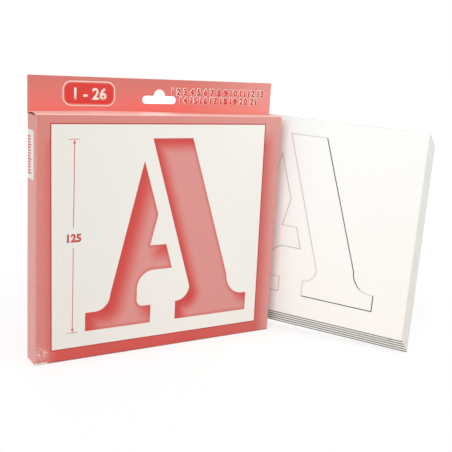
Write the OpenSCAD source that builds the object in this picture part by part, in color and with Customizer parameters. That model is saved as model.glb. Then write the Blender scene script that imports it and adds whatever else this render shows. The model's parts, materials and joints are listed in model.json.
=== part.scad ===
// Lettering stencil set: letter cards in a tuck-top carton with a hanging header,
// and a short stack of cards standing beside it. Millimetres, +Z up.
// The origin is the middle of the carton's base; the front panel faces -Y.

/* [Cards] */
// Thickness of a card
card_t = 0.5; // [0.3:0.05:0.6]
// From the card's bottom edge up to the foot of its letter
letter_z = 17.5; // [14:0.5:22]
// From a letter's top up to the card's top edge
head_margin = 12.5; // [10:0.5:25]
// From the widest letter out to each side of its card
side_margin = 8; // [6:0.5:20]
// Width of the cut line round a letter
cut_w = 0.45; // [0.3:0.05:0.8]
// Width of the uncut nicks that hold a letter in its card
nick_w = 1.2; // [0.6:0.1:2.5]
// Height of the torn nicks left on a card's outer edges
nub_h = 0.5; // [0.3:0.1:0.8]
// Width of the torn nicks left on a card's outer edges
nub_w = 1.8; // [1:0.1:3]

/* [Letters] */
// Height of a cut letter
letter_h = 125; // [80:1:150]
// Heavy stroke, as a share of the letter's height
heavy_share = 0.232; // [0.2:0.002:0.24]
// Light stroke, as a share of the letter's height
light_share = 0.112; // [0.09:0.002:0.12]
// Thickness of a serif, as a share of the letter's height
serif_share = 0.1; // [0.08:0.005:0.11]
// Radius under a serif, as a share of the letter's height
bracket_share = 0.064; // [0.04:0.004:0.072]

/* [Carton] */
// Thickness of the folding board
board = 0.5; // [0.35:0.05:0.7]
// Free width on each side of the cards
side_gap = 5; // [2:0.5:12]
// Free depth in front of and behind a full set of cards
depth_slack = 4; // [2.5:0.5:10]
// Free height over the cards
head_gap = 9.5; // [4:0.5:20]
// Outside radius of a folded upright corner
fold_r = 1; // [0.8:0.1:1.6]
// Depth of the tuck flap under the lid
tuck_d = 13; // [8:0.5:14]
// How far the tuck flap stops short of each side
tuck_inset = 13; // [8:0.5:25]
// Radius of the tuck flap's lower corners
tuck_r = 7; // [3:0.5:7.5]
// How far the side dust flaps stop short of the tuck flap
dust_gap = 1; // [0.6:0.1:4]
// Slope of the dust flaps' front edge
dust_taper = 0.35; // [0.3:0.05:0.5]
// Width of the glued seam strip
seam_w = 14; // [8:1:20]

/* [Header] */
// Height of the hanging header above the lid
header_h = 23; // [20:1:40]
// How far the header's front ply runs down inside the back
ply_down = 15; // [14.5:0.5:25]
// Length of the hanging slot
slot_w = 26; // [20:1:34]
// Height of the hanging slot
slot_h = 5.4; // [4.5:0.1:7]
// Radius of the hook's notch over the slot
notch_r = 4.4; // [3:0.1:5.5]
// From the lid up to the slot
slot_z = 6.2; // [4:0.1:9]

/* [Stack beside the carton] */
// Turn of the stack against the front panel, in degrees
stack_turn = 58; // [45:1:65]
// Tip of the stack in its own plane, in degrees
stack_tip = 1.5; // [0:0.5:4]
// How far the stack's lower corner stands out from the carton
stack_out = 121.5; // [110:0.5:130]
// From the carton's rear corner to the front card
stack_gap = 3.6; // [3.4:0.1:8]
// Sideways step from card to card
fan_x = 0.9; // [0:0.1:3]
// Upward step from card to card
fan_z = 2; // [0:0.1:3]
// Air between the cards of the stack
air = 0.25; // [0.2:0.05:0.6]

/* [Fits] */
// Running gap at the lid's sides, the dust flaps and the cards in the carton
run_gap = 0.3; // [0.25:0.05:0.5]
// Gap behind the tuck flap, which it needs to swing past the header
tuck_gap = 0.45; // [0.4:0.05:0.8]

/* [Hidden] */
$fn = 48;

set_count = 26;                 // cards in a full set
stack_count = 5;                // cards taken out and stood beside the carton
top_nub_x = 20;                 // torn nicks, from the card's lower right corner
side_nub_z = 38;
foot_nub_x = 9;
past = 1;                       // how far a cutter runs past a face

print_red = "#d4706a";
raw_board = "#cfc8bd";
card_white = "#f6f3ee";

// Outlines: every letter is a list of islands, and an island is a list of points.
// They are drawn at the letter A's own height and scaled to letter_h.

function arc(cx, cy, rx, ry, from, to, steps = 8) =
    [for (i = [0:steps]) let (a = from + (to - from) * i / steps) [cx + rx * cos(a), cy + ry * sin(a)]];

function flip(points, w) = [for (p = points) [w - p[0], p[1]]];

function drop(points, h) = [for (p = points) [p[0], h - p[1]]];

// Upright stroke from x, w wide, with bracketed serifs of the given reach at its
// bottom left, bottom right, top left and top right
function stem(x, w, y0, y1, reach) = let (xl = x, xr = x + w) concat(
    reach[1] > 0 ? concat([[xr + reach[1], y0], [xr + reach[1], y0 + serif]],
        arc(xr + bracket, y0 + serif + bracket, bracket, bracket, 270, 180, 4)) : [[xr, y0]],
    reach[3] > 0 ? concat(arc(xr + bracket, y1 - serif - bracket, bracket, bracket, 180, 90, 4),
        [[xr + reach[3], y1 - serif], [xr + reach[3], y1]]) : [[xr, y1]],
    reach[2] > 0 ? concat([[xl - reach[2], y1], [xl - reach[2], y1 - serif]],
        arc(xl - bracket, y1 - serif - bracket, bracket, bracket, 90, 0, 4)) : [[xl, y1]],
    reach[0] > 0 ? concat(arc(xl - bracket, y0 + serif + bracket, bracket, bracket, 0, -90, 4),
        [[xl - reach[0], y0 + serif], [xl - reach[0], y0]]) : [[xl, y0]]);

// Round stroke that leaves x0, turns at rx right of cx and comes back to x0
function bowl(x0, cx, y0, y1, rx, heavy = thick) = concat(
    [[x0, y0]], arc(cx, (y0 + y1) / 2, rx, (y1 - y0) / 2, -90, 90, 14), [[x0, y1], [x0, y1 - thin]],
    arc(cx, (y0 + y1) / 2, rx - heavy, (y1 - y0) / 2 - thin, 90, -90, 12), [[x0, y0 + thin]]);

// Part of a ring, heavy at its sides and light at its top and foot
function ring(cx, cy, rx, ry, from, to, heavy = thick, steps = 10) = concat(
    arc(cx, cy, rx, ry, from, to, steps), arc(cx, cy, rx - heavy, ry - thin, to, from, steps));

function slant(foot_x, head_x, w, y0, y1) = [[foot_x, y0], [foot_x + w, y0], [head_x + w, y1], [head_x, y1]];

function block(x0, x1, y0, y1) = [[x0, y0], [x1, y0], [x1, y1], [x0, y1]];

// Arm along the letter's top, with a serif hanging from its end
function arm(x0, x1, hang = 20) =
    [[x0, cap - thin], [x1 - 14, cap - thin], [x1 - 5, cap - thin - hang], [x1, cap - thin - hang],
     [x1, cap], [x0, cap]];

letter_a = [
    concat([[38.9, 110.5]], arc(6.5, 23, 10.5, 10.5, 0, -90), [[0, 12.5], [0, 0], [46.4, 0], [46.4, 12.5]],
        arc(40.5, 17, 4.5, 4.5, 270, 180, 4), arc(48, 25, 12, 12, 180, 90),
        [[61.5, 37], [56.6, 54], [44.7, 54], [49.9, 74.8]]),
    concat([[44.4, 125]], arc(65.5, 23, 10, 10, 0, -90), [[65.1, 13], [65.1, 0], [122.2, 0], [122.2, 13]],
        arc(119, 28, 13.7, 15, 270, 180), [[73.6, 125]])];

cap = high(letter_a[1], 1);     // height that the outlines are drawn at
thick = heavy_share * cap;
thin = light_share * cap;
serif = serif_share * cap;
bracket = bracket_share * cap;

letters = [
    ["a", letter_a],
    ["b", [stem(14, thick, 0, cap, [14, 0, 14, 0]), bowl(50, 72, 66, cap, 36, thick - 3),
        bowl(50, 74, 0, 60, 42)]],
    ["c", [flip(bowl(65, 67, 0, cap, 53), 120), ring(63, cap / 2, 54, cap / 2, 25, 88),
        ring(63, cap / 2, 54, cap / 2, -88, -25)]],
    ["d", [stem(14, thick, 0, cap, [14, 0, 14, 0]), bowl(50, 58, 0, cap, 64)]],
    ["e", [stem(14, thick, 0, cap, [14, 0, 14, 0]), arm(50, 112), block(50, 86, 55, 69),
        drop(arm(50, 114), cap)]],
    ["f", [stem(14, thick, 0, cap, [14, 14, 14, 0]), arm(50, 110), block(50, 86, 55, 69)]],
    ["g", [flip(bowl(65, 67, 0, cap, 53), 120), ring(63, cap / 2, 54, cap / 2, 25, 88),
        ring(63, cap / 2, 54, cap / 2, -88, -50), block(86, 118, 22, 58)]],
    ["h", [stem(14, thick - 3, 0, cap, [14, 10, 14, 10]), block(46, 76, 56, 70),
        stem(82, thick - 3, 0, cap, [10, 14, 10, 14])]],
    ["i", [stem(16, thick, 0, cap, [16, 16, 16, 16])]],
    ["j", [stem(50, thick, 40, cap, [0, 0, 14, 14]), ring(43, 34, 36, 34, 180, 360, thick - 5)]],
    ["k", [stem(14, thick, 0, cap, [14, 10, 14, 10]), slant(52, 92, 18, 62, cap), slant(88, 60, 30, 0, 56)]],
    ["l", [stem(14, thick, 0, cap, [14, 0, 14, 14]), drop(arm(50, 108, 26), cap)]],
    ["m", [stem(12, thin + 2, 0, cap, [12, 10, 12, 0]), slant(60, 34, thick - 2, 14, cap),
        slant(93, 104, thin - 2, 40, cap), stem(122, thick - 3, 0, cap, [10, 10, 0, 10])]],
    ["n", [stem(12, thin + 2, 0, cap, [12, 12, 12, 0]), slant(84, 34, thick - 1, 0, cap),
        stem(118, thin + 2, 0, cap, [0, 0, 12, 12])]],
    ["o", [bowl(64, 66, 0, cap, 54), flip(bowl(64, 66, 0, cap, 54), 120)]],
    ["p", [stem(14, thick, 0, cap, [14, 14, 14, 0]), bowl(50, 70, 54, cap, 40, thick - 2)]],
    ["q", [bowl(64, 66, 0, cap, 54), flip(bowl(64, 66, 0, cap, 54), 120), slant(92, 78, 24, -12, -5)]],
    ["r", [stem(14, thick, 0, cap, [14, 10, 14, 0]), bowl(50, 70, 62, cap, 38, thick - 2),
        slant(94, 62, 30, 0, 56)]],
    ["s", [ring(50, 92, 44, 33, 15, 55, thick - 5), ring(50, 92, 44, 33, 65, 245, thick - 5),
        ring(58, 33, 46, 33, -112, 82, thick - 3), ring(58, 33, 46, 33, 196, 238, thick - 3)]],
    ["t", [flip(arm(78, 116, 24), 116), stem(44, thick - 1, 0, cap, [14, 14, 0, 0]), arm(78, 116, 24)]],
    ["u", [stem(14, thick - 1, 42, cap, [0, 0, 14, 14]), ring(58, 36, 44, 36, 180, 360, thick - 5),
        stem(86, thin + 2, 42, cap, [0, 0, 12, 12])]],
    ["v", [slant(50, 4, thick, 0, cap), slant(80, 104, thin, 20, cap)]],
    ["w", [slant(34, 4, thick - 5, 0, cap), slant(63, 76, thin - 3, 24, cap),
        slant(104, 93, thick - 5, 0, cap), slant(133, 146, thin - 3, 24, cap)]],
    ["x", [slant(90, 6, 30, 0, cap), slant(76, 98, 15, 72, cap), slant(10, 30, 15, 0, 50)]],
    ["y", [stem(46, thick, 0, 56, [14, 14, 0, 0]), slant(44, 6, thick - 1, 63, cap),
        slant(80, 100, 15, 63, cap)]],
    ["z", [block(8, 106, 109, cap), slant(8, 74, 32, 22, 103), block(6, 112, 0, 16)]]];

// Inward copy of an outline, each edge moved by the same distance
function turned(points) = sum([for (i = [0:len(points) - 1])
    let (p = points[i], q = points[(i + 1) % len(points)]) p[0] * q[1] - q[0] * p[1]]) > 0 ? 1 : -1;

function sum(v, i = 0) = i < len(v) ? v[i] + sum(v, i + 1) : 0;

function unit(v) = v / norm(v);

function inset(points, by) = let (n = len(points), way = turned(points)) [for (i = [0:n - 1])
    let (a = unit(points[i] - points[(i + n - 1) % n]), b = unit(points[(i + 1) % n] - points[i]),
        na = way * [-a[1], a[0]], nb = way * [-b[1], b[0]])
    points[i] + by * (na + nb) / (1 + na * nb)];

function sized(points) = [for (p = points) p * letter_h / cap];

function low(points, k) = min([for (p = points) p[k]]);

function high(points, k) = max([for (p = points) p[k]]);

function islands(k) = [for (island = letters[k][1]) sized(island)];

// Left and right end of a letter
function ends(k) = let (all = islands(k)) [min([for (i = all) low(i, 0)]), max([for (i = all) high(i, 0)])];

// Sizes that follow from the letters, the cards and the board
card_w = max([for (k = [0:set_count - 1]) ends(k)[1] - ends(k)[0]]) + 2 * side_margin;
card_h = letter_z + letter_h + head_margin;
carton_w = card_w + 2 * side_gap + 2 * board;
carton_d = set_count * card_t + depth_slack + 2 * board;
carton_h = card_h + 3 * board + head_gap;
front_y = -carton_d / 2;
back_y = carton_d / 2;
side_x = carton_w / 2;
lid_back = back_y - 2 * board - tuck_gap;   // rear end of the lid, at the header's front ply
lid_under = carton_h - board;
dust_top = lid_under - run_gap;
dust_l = tuck_inset - dust_gap;
wall_top = dust_top - board;    // upper edge of the side walls
header_top = carton_h + header_h;
shelf_z = 3 * board;            // what the cards in the carton stand on

// Cards: drawn upright in the XZ plane, centred on X, face at y = 0 and foot at z = 0

module upright() rotate([90, 0, 0]) mirror([0, 0, 1]) children();

module nub() polygon([[-nub_w / 2, -nub_h], [nub_w / 2, -nub_h], [nub_w / 4, nub_h], [-nub_w / 4, nub_h]]);

// Blank with the torn nicks of its top and right edges, and of its foot where foot_nub is true
module card_blank(foot_nub = false) upright() linear_extrude(card_t) union() {
    translate([-card_w / 2, 0]) square([card_w, card_h]);
    translate([card_w / 2 - top_nub_x, card_h]) nub();
    translate([card_w / 2, side_nub_z]) rotate(-90) nub();
    if (foot_nub) translate([card_w / 2 - foot_nub_x, 0]) rotate(180) nub();
}

// Places a letter over the middle of its card
module place_letter(k) translate([-(ends(k)[0] + ends(k)[1]) / 2, 0, letter_z]) children();

module nick_bar(island) {
    mid = (low(island, 1) + high(island, 1)) / 2;
    wide = high(island, 0) - low(island, 0);
    translate([low(island, 0) - past, mid - nick_w / 2]) square([wide + 2 * past, nick_w]);
}

module cut_line(island) difference() {
    polygon(island);
    polygon(inset(island, cut_w));
    nick_bar(island);
}

// Card with its letter cut round but still held by the nicks
module cut_card(k) color(card_white) difference() {
    card_blank();
    place_letter(k) translate([0, -past, 0]) upright() linear_extrude(card_t + 2 * past)
        for (island = islands(k)) cut_line(island);
}

// Card whose letter is a separate piece, lying loose in its opening
module open_card(k) color(card_white) difference() {
    card_blank(foot_nub = true);
    place_letter(k) translate([0, -past, 0]) upright() linear_extrude(card_t + 2 * past)
        for (island = islands(k)) polygon(island);
}

module loose_letter(island) color(card_white) upright() linear_extrude(card_t) union() {
    polygon(inset(island, cut_w));
    intersection() {
        polygon(inset(island, cut_w / 4));
        nick_bar(island);
    }
}

// The stack beside the carton: card 0 is the front one, the last one's corner is on the floor
module in_stack(i) {
    back = [-sin(stack_turn), -cos(stack_turn)];
    along = [cos(stack_turn), -sin(stack_turn)];
    corner = [side_x, back_y] - stack_gap * back + stack_out * along;
    step = stack_count - 1 - i;
    translate([corner[0], corner[1], 0]) rotate([0, 0, -stack_turn]) rotate([0, stack_tip, 0])
        translate([-card_w / 2 - step * fan_x, i * (card_t + air), step * fan_z]) children();
}

// The stock in the carton stands on the bottom flaps, behind the front panel
module in_carton(k) {
    y = front_y + board + run_gap + (k - stack_count) * card_t;
    translate([0, y, shelf_z]) children();
}

// Carton panels

// Upright folded corner: a quarter ring of board, from the +X side of its centre round to +Y
module corner_fold() intersection() {
    difference() {
        circle(fold_r);
        circle(fold_r - board);
    }
    square(fold_r);
}

// Plan of a wide panel at y = back_y with its two folded corners
module wide_panel() {
    translate([-side_x + fold_r, back_y - board]) square([carton_w - 2 * fold_r, board]);
    translate([side_x - fold_r, back_y - fold_r]) corner_fold();
    mirror([1, 0]) translate([side_x - fold_r, back_y - fold_r]) corner_fold();
}

module front_panel() color(print_red) translate([0, 0, board]) linear_extrude(lid_under - board)
    mirror([0, 1]) wide_panel();

module hang_slot() translate([0, back_y + past, carton_h + slot_z + slot_h / 2]) rotate([90, 0, 0])
    linear_extrude(2 * board + 2 * past) {
        translate([-(slot_w - slot_h) / 2, -slot_h / 2]) square([slot_w - slot_h, slot_h]);
        for (side = [-1, 1]) translate([side * (slot_w - slot_h) / 2, 0]) circle(d = slot_h);
        translate([0, slot_h / 2]) circle(notch_r);
    }

module back_panel() color(print_red) difference() {
    union() {
        linear_extrude(wall_top) wide_panel();
        translate([-side_x, back_y - board, wall_top]) cube([carton_w, board, header_top - wall_top - board]);
        translate([-side_x, back_y - board, header_top - board]) rotate([90, 0, 90]) linear_extrude(carton_w)
            intersection() {
                circle(board);
                square(board);
            }
    }
    hang_slot();
}

// Front ply of the header: folded over the top and glued down inside the back panel
module header_ply() color(print_red) {
    y = back_y - 2 * board;
    inner_x = side_x - fold_r;
    difference() {
        union() {
            translate([-side_x, y, carton_h - board]) cube([carton_w, board, header_h]);
            translate([-inner_x, y, carton_h - ply_down]) cube([2 * inner_x, board, ply_down - board]);
            translate([-side_x, y + board, header_top - board]) rotate([90, 0, 90]) linear_extrude(carton_w)
                intersection() {
                    circle(board);
                    translate([-board, 0]) square(board);
                }
        }
        hang_slot();
    }
}

module side_panel() translate([-side_x, front_y + fold_r, 0]) cube([board, carton_d - 2 * fold_r, wall_top]);

module left_side() color(print_red) side_panel();

module right_side() color(print_red) mirror([1, 0, 0]) side_panel();

// Strip off the right side, glued inside the back panel below the header's ply
module seam_strip() color(raw_board) {
    low_z = shelf_z + run_gap;
    translate([side_x - fold_r - seam_w, back_y - 2 * board, low_z])
        cube([seam_w, board, carton_h - ply_down - run_gap - low_z]);
}

// Glued bottom: flap off the front panel outside, flap off the back panel on it, dust flaps inside
module bottom_outer_flap() color(print_red) {
    inner_x = side_x - fold_r;
    translate([-inner_x, 0, 0]) rotate([90, 0, 90]) linear_extrude(2 * inner_x) {
        translate([front_y + board, 0]) square([carton_d - 2 * board, board]);
        intersection() {
            translate([front_y + board, board]) circle(board);
            translate([front_y, 0]) square(board);
        }
    }
}

module bottom_inner_flap() color(raw_board) translate([fold_r - side_x, front_y + board, board])
    cube([carton_w - 2 * fold_r, carton_d - 2 * board, board]);

module bottom_dust() translate([board - side_x, front_y + board, 2 * board]) linear_extrude(board)
    polygon([[0, run_gap], [0, carton_d - 3 * board], [dust_l, carton_d - 3 * board],
        [dust_l, run_gap + dust_taper * dust_l]]);

module bottom_dust_left() color(raw_board) bottom_dust();

module bottom_dust_right() color(raw_board) mirror([1, 0, 0]) bottom_dust();

// Lid: folds on the front panel's top edge, which is rounded by the fold
module lid_panel() color(print_red) {
    half = side_x - run_gap;
    translate([-half, 0, 0]) rotate([90, 0, 90]) linear_extrude(2 * half) {
        translate([front_y + board, lid_under]) square([lid_back - front_y - board, board]);
        intersection() {
            translate([front_y + board, lid_under]) circle(board);
            translate([front_y, lid_under]) square(board);
        }
    }
}

module tuck_flap() color(print_red) {
    half = side_x - tuck_inset;
    translate([0, lid_back, lid_under]) rotate([90, 0, 0]) linear_extrude(board) {
        translate([-half, tuck_r - tuck_d]) square([2 * half, tuck_d - tuck_r]);
        translate([tuck_r - half, -tuck_d]) square([2 * (half - tuck_r), tuck_d]);
        for (side = [-1, 1]) intersection() {
            translate([side * (half - tuck_r), tuck_r - tuck_d]) circle(tuck_r);
            translate([side * (half - tuck_r / 2) - tuck_r / 2, -tuck_d]) square(tuck_r);
        }
    }
}

// Dust flap off the left side's top edge, tapered along its front so that the lid clears it
module top_dust() translate([-side_x, 0, dust_top - board]) linear_extrude(board)
    polygon([[0, front_y + fold_r + run_gap], [0, lid_back], [dust_l, lid_back],
        [dust_l, front_y + fold_r + run_gap + dust_taper * dust_l]]);

module top_dust_left() color(raw_board) top_dust();

module top_dust_right() color(raw_board) mirror([1, 0, 0]) top_dust();

module stencil_a() in_stack(0) open_card(0);

module letter_a_left() in_stack(0) place_letter(0) loose_letter(islands(0)[0]);

module letter_a_right() in_stack(0) place_letter(0) loose_letter(islands(0)[1]);

module stack_card(k) in_stack(k) cut_card(k);

module stock_card(k) in_carton(k) cut_card(k);

front_panel();
back_panel();
left_side();
right_side();
seam_strip();
header_ply();
bottom_outer_flap();
bottom_inner_flap();
bottom_dust_left();
bottom_dust_right();
lid_panel();
tuck_flap();
top_dust_left();
top_dust_right();
stencil_a();
letter_a_left();
letter_a_right();
stack_card(1);  // stencil_b
stack_card(2);  // stencil_c
stack_card(3);  // stencil_d
stack_card(4);  // stencil_e
stock_card(5);  // stencil_f
stock_card(6);  // stencil_g
stock_card(7);  // stencil_h
stock_card(8);  // stencil_i
stock_card(9);  // stencil_j
stock_card(10);  // stencil_k
stock_card(11);  // stencil_l
stock_card(12);  // stencil_m
stock_card(13);  // stencil_n
stock_card(14);  // stencil_o
stock_card(15);  // stencil_p
stock_card(16);  // stencil_q
stock_card(17);  // stencil_r
stock_card(18);  // stencil_s
stock_card(19);  // stencil_t
stock_card(20);  // stencil_u
stock_card(21);  // stencil_v
stock_card(22);  // stencil_w
stock_card(23);  // stencil_x
stock_card(24);  // stencil_y
stock_card(25);  // stencil_z
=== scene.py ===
# Looks for the lettering stencil set: carton, print and cards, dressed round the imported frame.
import bpy
import json
import math
import numpy as np
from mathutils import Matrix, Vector


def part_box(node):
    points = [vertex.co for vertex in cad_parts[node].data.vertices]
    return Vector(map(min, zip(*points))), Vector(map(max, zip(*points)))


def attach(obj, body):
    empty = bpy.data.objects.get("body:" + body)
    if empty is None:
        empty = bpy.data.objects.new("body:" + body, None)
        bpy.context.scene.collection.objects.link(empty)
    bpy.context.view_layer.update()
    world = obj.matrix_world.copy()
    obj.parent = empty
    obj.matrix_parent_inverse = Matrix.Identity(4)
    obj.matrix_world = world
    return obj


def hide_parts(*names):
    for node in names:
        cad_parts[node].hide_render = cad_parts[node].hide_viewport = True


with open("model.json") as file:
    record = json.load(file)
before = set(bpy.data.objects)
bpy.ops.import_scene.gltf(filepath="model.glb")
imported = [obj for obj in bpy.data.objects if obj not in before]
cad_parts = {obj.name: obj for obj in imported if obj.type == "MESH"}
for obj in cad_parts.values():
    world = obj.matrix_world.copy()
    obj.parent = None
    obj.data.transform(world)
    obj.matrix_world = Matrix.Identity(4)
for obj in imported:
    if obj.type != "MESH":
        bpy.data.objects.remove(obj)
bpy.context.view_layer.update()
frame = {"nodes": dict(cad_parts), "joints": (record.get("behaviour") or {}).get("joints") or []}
bpy.ops.object.select_all(action="DESELECT")
print("frame loaded:", len(frame["nodes"]), "nodes")

mm = 0.001
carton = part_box("front_panel")
cartonLeft, cartonRight = carton[0][0] / mm, carton[1][0] / mm
frontY = carton[0][1] / mm
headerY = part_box("header_ply")[0][1] / mm
# heights of the carton's top fold and of the header's top edge, in millimetres
foldHeight, headerHeight = 166, 189
# a half size, in millimetres, that reaches past the whole object
anyReach = 1000


# Camera: where the photograph was taken from
cameraLook = {"place": (-0.23945, -0.48063, 0.20718), "turn": (77.606, -3.142, -30.786),
              "lens": 61.63, "sensor": 36, "nearest": 0.01}


def addCamera(look):
    bpy.ops.object.camera_add(location=look["place"], rotation=[math.radians(a) for a in look["turn"]])
    camera = bpy.context.object
    camera.data.sensor_width = look["sensor"]
    camera.data.lens = look["lens"]
    camera.data.clip_start = look["nearest"]
    bpy.context.scene.camera = camera


addCamera(cameraLook)
bpy.context.scene.view_settings.view_transform = "Standard"
print("camera placed")


# Materials: colours are sRGB hex, and one function turns them to linear
def linear(hexColour):
    channels = [int(hexColour[i:i + 2], 16) / 255 for i in (1, 3, 5)]
    return tuple(c / 12.92 if c <= 0.04045 else ((c + 0.055) / 1.055) ** 2.4 for c in channels) + (1,)


def addNode(tree, kind, settings=None, links=None):
    node = tree.nodes.new("ShaderNode" + kind)
    for key, value in (settings or {}).items():
        if isinstance(key, int) or key in node.inputs:
            node.inputs[key].default_value = value
        else:
            setattr(node, key, value)
    for key, source in (links or {}).items():
        tree.links.new(source, node.inputs[key])
    return node


# Nearly all of a noise's values lie between these
noiseLow, noiseHigh = 0.3, 0.7


# Gives a colour ramp these stops, each a place from 0 to 1 and a hex colour
def setStops(ramp, stops):
    elements = ramp.color_ramp.elements
    while len(elements) > 1:
        elements.remove(elements[-1])
    elements[0].position, elements[0].color = stops[0][0], linear(stops[0][1])
    for position, colour in stops[1:]:
        elements.new(position).color = linear(colour)


# Starts a material: returns it, its tree, its principled shader and the object's coordinates in millimetres
def startMaterial(name):
    material = bpy.data.materials.new(name)
    material.use_nodes = True
    tree = material.node_tree
    shader = tree.nodes["Principled BSDF"]
    place = addNode(tree, "TexCoord")
    inMm = addNode(tree, "Mapping", {"Scale": (1 / mm, 1 / mm, 1 / mm)}, {"Vector": place.outputs["Object"]})
    return material, tree, shader, inMm.outputs["Vector"]


# Distance past a box's sides along each axis, in millimetres, as a vector
def pastBox(tree, coords, centre, half):
    fromCentre = addNode(tree, "VectorMath", {"operation": "SUBTRACT", 1: centre}, {0: coords})
    size = addNode(tree, "VectorMath", {"operation": "ABSOLUTE"}, {0: fromCentre.outputs[0]})
    past = addNode(tree, "VectorMath", {"operation": "SUBTRACT", 1: half}, {0: size.outputs[0]})
    return past.outputs[0]


# Paper and board surface: fibres about 0.3 mm across, drawn at 0.7 mm so that they show, over a long low wave
fibreLook = {"fibre": 0.7, "fibreDepth": 0.007, "wave": 38, "waveDepth": 0.10}


def addFibreBump(tree, shader, coords, strength=1.0):
    look = fibreLook
    fibre = addNode(tree, "TexNoise", {"Scale": 1 / look["fibre"], "Detail": 3.0, "Roughness": 0.6},
                    {"Vector": coords})
    wave = addNode(tree, "TexNoise", {"Scale": 1 / look["wave"], "Detail": 1.0}, {"Vector": coords})
    low = addNode(tree, "Bump", {"Strength": strength, "Distance": look["waveDepth"] * mm},
                  {"Height": wave.outputs["Fac"]})
    fine = addNode(tree, "Bump", {"Strength": strength, "Distance": look["fibreDepth"] * mm},
                   {"Height": fibre.outputs["Fac"], "Normal": low.outputs["Normal"]})
    tree.links.new(fine.outputs["Normal"], shader.inputs["Normal"])


# Folding boxboard, offset printed and varnished: a soft sheen on the ink, dull grey-white board at cuts and
# inside. Each board's settings give a box, and the faces that lie 1 mm outside it are printed. The stops are
# the colours along one axis: print, and on some boards painted light and shade as well, as noted there
rawLook = {"light": "#dcd6cb", "dark": "#cbc4b8", "blotch": 5, "roughness": 0.85, "ior": 1.5,
           "printedFrom": 0.9}
# Grain of the ink, in millimetres: slight on the carton's ground, stronger on the plain inks
inkGrain = {"size": 0.8, "depth": 0.035, "least": 0.9, "most": 1.08}
inkRoughness = 0.42
# Rubbed folds: each fold's crest is lighter, in patches about 3 mm across: worn ink and a painted highlight
rubAndHighlightLook = {"inset": 0.75, "wide": 0.35, "patchesPerMm": 0.35, "from": 0.35, "to": 0.75, "least": 0.25,
           "amount": 0.55, "colour": "#f2c9bd"}


# Lightens the folds' crests: partly wear, partly a painted highlight
def rubFolds(tree, coords, colour, amount):
    look = rubAndHighlightLook
    half = (cartonRight - look["inset"], -frontY - look["inset"], anyReach)
    past = addNode(tree, "SeparateXYZ", links={0: pastBox(tree, coords, (0, 0, 0), half)})
    crest = addNode(tree, "Math", {"operation": "MINIMUM"}, {0: past.outputs[0], 1: past.outputs[1]})
    onFold = addNode(tree, "MapRange", {1: 0.0, 2: look["wide"], 3: 0.0, 4: amount}, {0: crest.outputs[0]})
    patches = addNode(tree, "TexNoise", {"Scale": look["patchesPerMm"], "Detail": 3.0}, {"Vector": coords})
    rubAndHighlightPatches = addNode(tree, "MapRange", {1: look["from"], 2: look["to"], 3: look["least"], 4: 1.0},
                     {0: patches.outputs["Fac"]})
    share = addNode(tree, "Math", {"operation": "MULTIPLY"}, {0: rubAndHighlightPatches.outputs[0], 1: onFold.outputs[0]})
    worn = addNode(tree, "Mix", {"data_type": "RGBA", 7: linear(look["colour"])},
                   {0: share.outputs[0], 6: colour})
    return worn.outputs[2]


# How much lighter or darker the ink's grain makes a print
def inkSpeckle(tree, coords, least, most):
    grain = addNode(tree, "TexNoise", {"Scale": 1 / inkGrain["size"], "Detail": 2.0}, {"Vector": coords})
    speckle = addNode(tree, "MapRange", {1: noiseLow, 2: noiseHigh, 3: least, 4: most},
                      {0: grain.outputs["Fac"]})
    return speckle.outputs[0]


def boardMaterial(name, look, paint=None):
    material, tree, shader, coords = startMaterial(name)
    past = pastBox(tree, coords, look["inkCentre"], look["inkHalf"])
    outside = addNode(tree, "VectorMath", {"operation": "MAXIMUM", 1: (0, 0, 0)}, {0: past})
    reach = addNode(tree, "VectorMath", {"operation": "LENGTH"}, {0: outside.outputs[0]})
    inked = addNode(tree, "Math", {"operation": "GREATER_THAN", 1: rawLook["printedFrom"]},
                    {0: reach.outputs["Value"]})
    place = addNode(tree, "SeparateXYZ", links={0: coords})
    low, high = look["span"]
    along = addNode(tree, "MapRange", {1: low, 2: high}, {0: place.outputs[look["axis"]]})
    ramp = addNode(tree, "ValToRGB", links={0: along.outputs[0]})
    setStops(ramp, look["stops"])
    colour = ramp.outputs["Color"]
    if paint:
        colour = paint(tree, coords, colour)
    # fold crests lighter: wear and a painted highlight
    worn = rubFolds(tree, coords, colour, look["rubAndHighlight"])
    speckle = inkSpeckle(tree, coords, 1 - inkGrain["depth"], 1 + inkGrain["depth"])
    ink = addNode(tree, "VectorMath", {"operation": "SCALE"}, {0: worn, "Scale": speckle})
    blotch = addNode(tree, "TexNoise", {"Scale": 1 / rawLook["blotch"], "Detail": 5.0}, {"Vector": coords})
    raw = addNode(tree, "ValToRGB", links={0: blotch.outputs["Fac"]})
    setStops(raw, [(noiseLow, rawLook["dark"]), (noiseHigh, rawLook["light"])])
    skin = addNode(tree, "Mix", {"data_type": "RGBA"},
                   {0: inked.outputs[0], 6: raw.outputs["Color"], 7: ink.outputs[0]})
    tree.links.new(skin.outputs[2], shader.inputs["Base Color"])
    sheen = addNode(tree, "MapRange", {3: rawLook["roughness"], 4: look["roughness"]}, {0: inked.outputs[0]})
    tree.links.new(sheen.outputs[0], shader.inputs["Roughness"])
    shader.inputs["IOR"].default_value = rawLook["ior"]
    addFibreBump(tree, shader, coords)
    return material


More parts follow.
